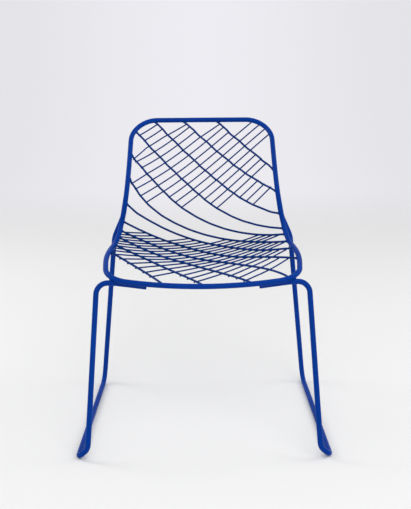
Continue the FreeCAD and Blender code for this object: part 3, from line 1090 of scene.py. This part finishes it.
@dataclass
class WireMesh:
    """The long wires, the cross wires behind and under them, and the welds where they cross."""

    panel: Panel
    rim: ShellRim
    fullness: float = 0.9
    weld_clearance: float = 0.15

    # The long wires, and how they are welded to the rim.
    long_wires: int = 12
    long_diameter: float = 5.0
    long_sides: int = 14
    long_steps: int = 150
    end_crowding: float = 0.85
    weld_flare: float = 0.5
    weld_sink: float = 3.0

    # The cross wires, and how they end on a long wire or in the rim.
    cross_diameter: float = 3.2
    cross_sides: int = 10
    cross_steps: int = 48
    cross_sink: float = 2.5
    front_overhang: float = 1.0
    rear_overhang: float = 3.5
    landing_inset: float = 12.0
    bend_reach: float = 45.0
    cut_reach: float = 0.35
    cut_share: float = 0.8
    back_low_share: float = 0.5
    seat_high_share: float = 0.9

    # The weld nuggets, and where a crossing is looked for.
    nugget_radius: float = 1.4
    nugget_sink: float = 0.1
    crossing_margin: float = 12.0
    crossing_slack: float = 0.01
    nuggets: list[Vector] = field(default_factory=list)

    # The long wires that each cross wire's two ends are welded to, from the left, with 0 for the rim.
    back_fronts: tuple[int, ...] = (4,) * 2 + (5,) * 3 + (6,) * 4 + (5,) * 3 + (4,) * 3 + (3,) * 3
    back_rears: tuple[int, ...] = (3,) * 2 + (2,) * 3 + (1,) * 3 + (0,) * 4 + (1,) * 3 + (2,) * 3
    seat_fronts: tuple[int, ...] = (0,) * 10 + (12,) * 5 + (11,) * 3 + (10,) * 3
    seat_rears: tuple[int, ...] = (8,) * 3 + (7,) * 3 + (6,) * 2 + (5,) * 4 + (6,) * 4 + (7,) * 3 + (8,) * 2

    def flared(self, line: list[Vector], radius: float) -> tuple[list[Vector], list[float]]:
        """Widen a wire where it is welded to the rim, and stop it inside the rod.

        Args:
            line: Points of the wire's centre line.
            radius: The wire's own radius, in metres.

        Returns:
            The points that show, and the share of the diameter at each.
        """
        rod = self.rim.diameter * MM / 2.0
        points = [point for point in line if self.rim.distance(point) > rod - self.weld_sink * MM]
        shares = []
        for point in points:
            out = max(self.rim.distance(point) - rod, 0.0)
            shares.append(1.0 + self.weld_flare * math.exp(-((out / radius) ** 2)))
        return points, shares

    def build_long(self, coat: bpy.types.Material) -> None:
        """Make the long wires.

        Args:
            coat: Their finish.
        """
        panel = self.panel
        radius = self.long_diameter * MM / 2.0
        diameter = (self.long_diameter + self.fullness) * MM
        for number in range(1, self.long_wires + 1):
            across_at = partial(panel.long_across, number)
            low, high = panel.rim_ends(across_at, *panel.span)
            line = [panel.place(across_at(along), along) for along in self.dense_ends(low, high)]
            line, shares = self.flared(line, radius)
            name = "long_wire_%02d" % number
            piece = GeometryTools.rod(
                name + "_round", line, diameter, coat, self.long_sides, thickness=shares
            )
            settle(piece, Slot.WIRE, name)

    def dense_ends(self, low: float, high: float) -> list[float]:
        """Places along a long wire, closer together near both ends.

        Args:
            low: First place.
            high: Last place.

        Returns:
            The places.
        """
        places = []
        for index in range(self.long_steps + 1):
            even = index / self.long_steps
            crowded = even - math.sin(2.0 * math.pi * even) / (2.0 * math.pi) * self.end_crowding
            places.append(low + (high - low) * crowded)
        return places

    def landing(self, number: int, along: float) -> float:
        """Where a cross wire lands on a long wire, kept a little inside the rim.

        Args:
            number: The long wire.
            along: Where the two lines meet.

        Returns:
            The place along the panel.
        """
        panel = self.panel

        def room(place: float) -> float:
            """Distance of the long wire inside the rim, past the room a weld needs."""
            return panel.inset(panel.long_across(number, place), place) - self.landing_inset

        if room(along) > 0.0:
            return along
        low, high = panel.rim_ends(partial(panel.long_across, number), *panel.span)
        return find_root(room, (low + high) / 2.0, along)

    def crossings(
        self, across_at: Callable[[float], float], low: float, high: float
    ) -> dict[int, float]:
        """Find where a cross wire meets the long wires.

        Args:
            across_at: Where the cross wire is across the panel.
            low: Where to start the search along the panel.
            high: Where to end it.

        Returns:
            The place along the panel for each long wire that it meets.
        """
        found = {}
        for number in range(1, self.long_wires + 1):

            def apart(along: float, wire: int = number) -> float:
                """How far the cross wire is past a long wire."""
                return across_at(along) - self.panel.long_across(wire, along)

            if apart(low) < 0.0 < apart(high):
                found[number] = self.landing(number, find_root(apart, low, high))
        return found

    def cross_line(
        self, across_at: Callable[[float], float], first: int, last: int, low: float, high: float
    ) -> tuple[list[Vector], bool]:
        """Trace a cross wire's centre line, and note the welds along it.

        Args:
            across_at: Where the wire is across the panel.
            first: The first long wire that it is welded to, or 0 for the rim.
            last: The last one.
            low: Lower end of its part of the panel.
            high: Upper end.

        Returns:
            The line, and True if it reaches the rim.
        """
        panel = self.panel
        drop = ((self.long_diameter + self.cross_diameter) / 2.0 + self.weld_clearance) * MM
        rim_low, rim_high = panel.rim_ends(across_at, low, high)
        margin = self.crossing_margin
        crossings = self.crossings(across_at, rim_low - margin, rim_high + margin)
        start = crossings[first] if first else rim_low
        end = crossings[last] if last else rim_high
        start_shift = panel.long_across(first, start) - across_at(start) if first else 0.0
        end_shift = panel.long_across(last, end) - across_at(end) if last else 0.0
        line = []
        for index in range(self.cross_steps + 1):
            along = start + (end - start) * index / self.cross_steps
            near_start = max(0.0, 1.0 - (along - start) / self.bend_reach)
            near_end = max(0.0, 1.0 - (end - along) / self.bend_reach)
            across = across_at(along) + start_shift * near_start + end_shift * near_end
            line.append(panel.place(across, along) - panel.upward(across, along) * drop)
        for number, along in crossings.items():
            if start - self.crossing_slack <= along <= end + self.crossing_slack:
                across = panel.long_across(number, along)
                touch = panel.upward(across, along) * (self.long_diameter / 2.0 + self.nugget_sink) * MM
                self.nuggets.append(panel.place(across, along) - touch)
        if first:
            line.insert(0, line[0] + (line[0] - line[1]).normalized() * self.front_overhang * MM)
        if last:
            line.append(line[-1] + (line[-1] - line[-2]).normalized() * self.rear_overhang * MM)
        return line, not (first and last)

    def build_cross(self, coat: bpy.types.Material) -> None:
        """Make the cross wires of the back and the seat.

        Args:
            coat: Their finish.
        """
        panel = self.panel
        back_low = panel.along(1.0, self.back_low_share)
        seat_high = panel.along(1.0, self.seat_high_share)
        back_spans = zip(self.back_fronts, self.back_rears)
        seat_spans = zip(self.seat_fronts, self.seat_rears)
        rows = (
            ("back_cross_wire", panel.back_cross_across, back_spans, back_low, panel.span[1]),
            ("seat_cross_wire", panel.seat_cross_across, seat_spans, panel.span[0], seat_high),
        )
        for row, across_of, spans, low, high in rows:
            for number, (first, last) in enumerate(spans, start=1):
                line, meets_rim = self.cross_line(partial(across_of, number), first, last, low, high)
                self.build_cross_wire("%s_%02d" % (row, number), line, meets_rim, coat)

    def build_cross_wire(
        self, name: str, line: list[Vector], meets_rim: bool, coat: bpy.types.Material
    ) -> None:
        """Make one cross wire.

        Args:
            name: Name of the solid that it stands for.
            line: Its centre line.
            meets_rim: True if an end has to stop inside the rim's rod.
            coat: Its finish.
        """
        line, shares = eased(line, self.cut_reach * MM, self.cut_share)
        if meets_rim:
            reach = (self.rim.diameter / 2.0 - self.cross_sink) * MM
            kept = [index for index, point in enumerate(line) if self.rim.distance(point) > reach]
            line = [line[index] for index in kept]
            shares = [shares[index] for index in kept]
        diameter = (self.cross_diameter + self.fullness) * MM
        piece = GeometryTools.rod(name + "_round", line, diameter, coat, self.cross_sides, thickness=shares)
        settle(piece, Slot.WIRE, name)

    def build(self, coat: bpy.types.Material) -> None:
        """Make the wires and the welds at their crossings.

        Args:
            coat: The finish over both.
        """
        self.build_long(coat)
        self.build_cross(coat)
        welds = GeometryTools.nuggets("mesh_welds", self.nuggets, self.nugget_radius * MM, coat)
        settle(welds, Slot.WIRE)


@dataclass(frozen=True)
class Lamp:
    """A square soft lamp: its place and side in metres, and its power in watts."""

    name: str
    spot: tuple[float, float, float]
    size: float
    power: float

    def build(self, target: Vector) -> None:
        """Hang the lamp.

        Args:
            target: What it is turned to, in metres.
        """
        data = bpy.data.lights.new(self.name, "AREA")
        data.shape = "SQUARE"
        data.size = self.size
        data.energy = self.power
        lamp = bpy.data.objects.new(self.name, data)
        spot = Vector(self.spot)
        turn = (target - spot).to_track_quat("-Z", "Y").to_matrix().to_4x4()
        lamp.matrix_world = Matrix.Translation(spot) @ turn
        bpy.context.scene.collection.objects.link(lamp)


@dataclass
class Studio:
    """Plain pale sweep, soft light, and the camera at the photograph's viewing angle."""

    panel: Panel

    # The sweep, in metres, the colour of its floor, and the painted light of the wall far behind: a glow in
    # its lit tone, lighter in the middle.
    sweep_half_width: float = 8.0
    sweep_near: float = -6.0
    sweep_far: float = 5.0
    sweep_radius: float = 1.6
    sweep_height: float = 6.0
    sweep_steps: int = 16
    floor_colour: tuple[float, float, float] = (0.86, 0.86, 0.86)
    wall_glow_edge: tuple[float, float, float] = (0.775, 0.77, 0.805)
    wall_glow_middle: tuple[float, float, float] = (0.85, 0.84, 0.885)
    wall_half_width: float = 1.7
    wall_from: float = 1.6
    wall_to: float = 3.1
    paper_roughness: float = 0.9
    paper_sheen: float = 0.1

    # The light.
    air_strength: float = 0.66
    lamp_target_height: float = 0.4
    lamps: tuple[Lamp, ...] = (
        Lamp("left_lamp", (-2.6, 0.9, 2.0), 1.2, 25.0),
        Lamp("right_lamp", (2.7, 0.4, 2.2), 1.4, 20.0),
        Lamp("front_lamp", (0.7, -2.2, 3.0), 3.0, 42.0),
    )

    # The camera: turns in degrees, and its place in the drawing's millimetres.
    focal_pixels: float = 933.0
    frame_height_pixels: float = 509.0
    sensor_width: float = 36.0
    clip_end: float = 50.0
    pitch: float = 15.554
    yaw: float = 0.2475
    roll: float = 0.409
    camera_x: float = -2.7
    camera_y: float = -2152.3
    camera_z: float = 1131.3

    def build_camera(self) -> None:
        """Place the camera."""
        pitch = math.radians(self.pitch)
        yaw = math.radians(self.yaw)
        roll = math.radians(self.roll)
        ahead = Vector((
            math.sin(yaw) * math.cos(pitch), math.cos(yaw) * math.cos(pitch), -math.sin(pitch)
        ))
        right = Vector((math.cos(yaw), -math.sin(yaw), 0.0))
        down = ahead.cross(right)
        turned_right = right * math.cos(roll) + down * math.sin(roll)
        turned_down = down * math.cos(roll) - right * math.sin(roll)
        data = bpy.data.cameras.new("camera")
        data.sensor_width = self.sensor_width
        data.lens = self.focal_pixels * self.sensor_width / self.frame_height_pixels
        data.clip_end = self.clip_end
        camera = bpy.data.objects.new("camera", data)
        spot = Vector((self.camera_x, self.camera_y + self.panel.shift, self.camera_z)) * MM
        turn = Matrix((turned_right, -turned_down, -ahead)).transposed()
        camera.matrix_world = Matrix.Translation(spot) @ turn.to_4x4()
        bpy.context.scene.collection.objects.link(camera)
        bpy.context.scene.camera = camera

    def build_sweep(self) -> None:
        """Make the floor, curved up into the backdrop."""
        radius = self.sweep_radius
        foot = self.sweep_far - radius
        profile = [(self.sweep_near, 0.0)]
        for index in range(self.sweep_steps + 1):
            angle = math.radians(90.0 * index / self.sweep_steps)
            profile.append((foot + radius * math.sin(angle), radius - radius * math.cos(angle)))
        profile.append((self.sweep_far, self.sweep_height))
        edges = -self.sweep_half_width, self.sweep_half_width
        points = [(x, y, z) for y, z in profile for x in edges]
        faces = [(2 * k, 2 * k + 1, 2 * k + 3, 2 * k + 2) for k in range(len(profile) - 1)]
        mesh = bpy.data.meshes.new("studio_sweep")
        mesh.from_pydata(points, [], faces)
        mesh.shade_smooth()
        sweep = bpy.data.objects.new("studio_sweep", mesh)
        bpy.context.scene.collection.objects.link(sweep)
        mesh.materials.append(self.paper())

    def paper(self) -> bpy.types.Material:
        """Make the paper of the sweep: it takes shadows near the chair, and far behind it glows with painted
        light, lighter in the middle, in place of the lit wall.

        Returns:
            The material. The painted glow far behind is seen by the camera and in reflections, and lights
            nothing.
        """
        material = bpy.data.materials.new("studio_paper")
        material.use_nodes = True
        tree = material.node_tree
        shader = tree.nodes["Principled BSDF"]
        set_values(shader, {
            "Base Color": (*self.floor_colour, 1.0),
            "Roughness": self.paper_roughness,
            "Specular IOR Level": self.paper_sheen,
        })
        where = add_node(tree, "ShaderNodeTexCoord")
        split = add_node(tree, "ShaderNodeSeparateXYZ")
        aside = add_node(tree, "ShaderNodeMath", operation="ABSOLUTE")
        width = {"From Max": self.wall_half_width}
        edge = add_node(tree, "ShaderNodeMapRange", width, interpolation_type="SMOOTHSTEP")
        stretch = {"From Min": self.wall_from, "From Max": self.wall_to}
        depth = add_node(tree, "ShaderNodeMapRange", stretch, interpolation_type="SMOOTHSTEP")
        colours = {"A": (*self.wall_glow_middle, 1.0), "B": (*self.wall_glow_edge, 1.0)}
        shade = add_node(tree, "ShaderNodeMix", colours, data_type="RGBA")
        # Painted light: the far wall glows in its lit tone, lighter in the middle than at the sides.
        tone = add_node(tree, "ShaderNodeEmission")
        path = add_node(tree, "ShaderNodeLightPath")
        seen = path, "Is Camera Ray"
        for ray in ("Is Glossy Ray", "Is Transmission Ray"):
            either = add_node(tree, "ShaderNodeMath", operation="MAXIMUM")
            join(tree, (*seen, either, 0), (path, ray, either, 1))
            seen = either, "Value"
        share = add_node(tree, "ShaderNodeMath", operation="MULTIPLY")
        mix = add_node(tree, "ShaderNodeMixShader")
        join(
            tree,
            (where, "Object", split, "Vector"),
            (split, "X", aside, 0),
            (aside, "Value", edge, "Value"),
            (edge, "Result", shade, "Factor"),
            (shade, "Result", tone, "Color"),
            (split, "Y", depth, "Value"),
            (depth, "Result", share, 0),
            (*seen, share, 1),
            (share, "Value", mix, "Fac"),
            (shader, "BSDF", mix, 1),
            (tone, "Emission", mix, 2),
            (mix, "Shader", tree.nodes["Material Output"], "Surface"),
        )
        return material

    def build_light(self) -> None:
        """Light the set evenly, with a soft lamp beside the chair on each side, and a wide one in front."""
        world = bpy.data.worlds.new("studio_air")
        world.use_nodes = True
        air = world.node_tree.nodes["Background"]
        set_values(air, {"Color": (1.0, 1.0, 1.0, 1.0), "Strength": self.air_strength})
        bpy.context.scene.world = world
        for lamp in self.lamps:
            lamp.build(Vector((0.0, 0.0, self.lamp_target_height)))

    def build(self) -> None:
        """Make the set."""
        self.build_camera()
        self.build_sweep()
        self.build_light()
        bpy.context.scene.view_settings.view_transform = "Standard"


def main() -> None:
    """Build the chair and its set, and report each piece."""
    logging.basicConfig(level=logging.INFO, format="%(message)s")
    panel = Panel()
    # The shift puts the middle of the solids' depth over the origin.
    rear_most = panel.drawn_place(0.0, panel.top_line(0.0)).y + ShellRim.diameter / 2.0
    trial = LegFrame(panel, ShellRim(panel), Side.RIGHT)
    panel.shift = -(trial.front_most() + rear_most) / 2.0
    rod_coat = CoatFinish("Blue rod coat", (0.0001, 0.04, 0.295), (0.0001, 0.034, 0.255)).build()
    # The wires have the rods' own powder coat; the wire coat is painted darker, as painted shade, since thin
    # wires look darker under the light.
    wire_coat = CoatFinish("Blue wire coat painted darker", (0.0001, 0.034, 0.2), (0.0001, 0.029, 0.17)).build()
    rim = ShellRim(panel)
    rim.build(rod_coat)
    for side in Side:
        LegFrame(panel, rim, side).build(rod_coat)
    WireMesh(panel, rim).build(wire_coat)
    Studio(panel).build()


if __name__ == "__main__":
    main()
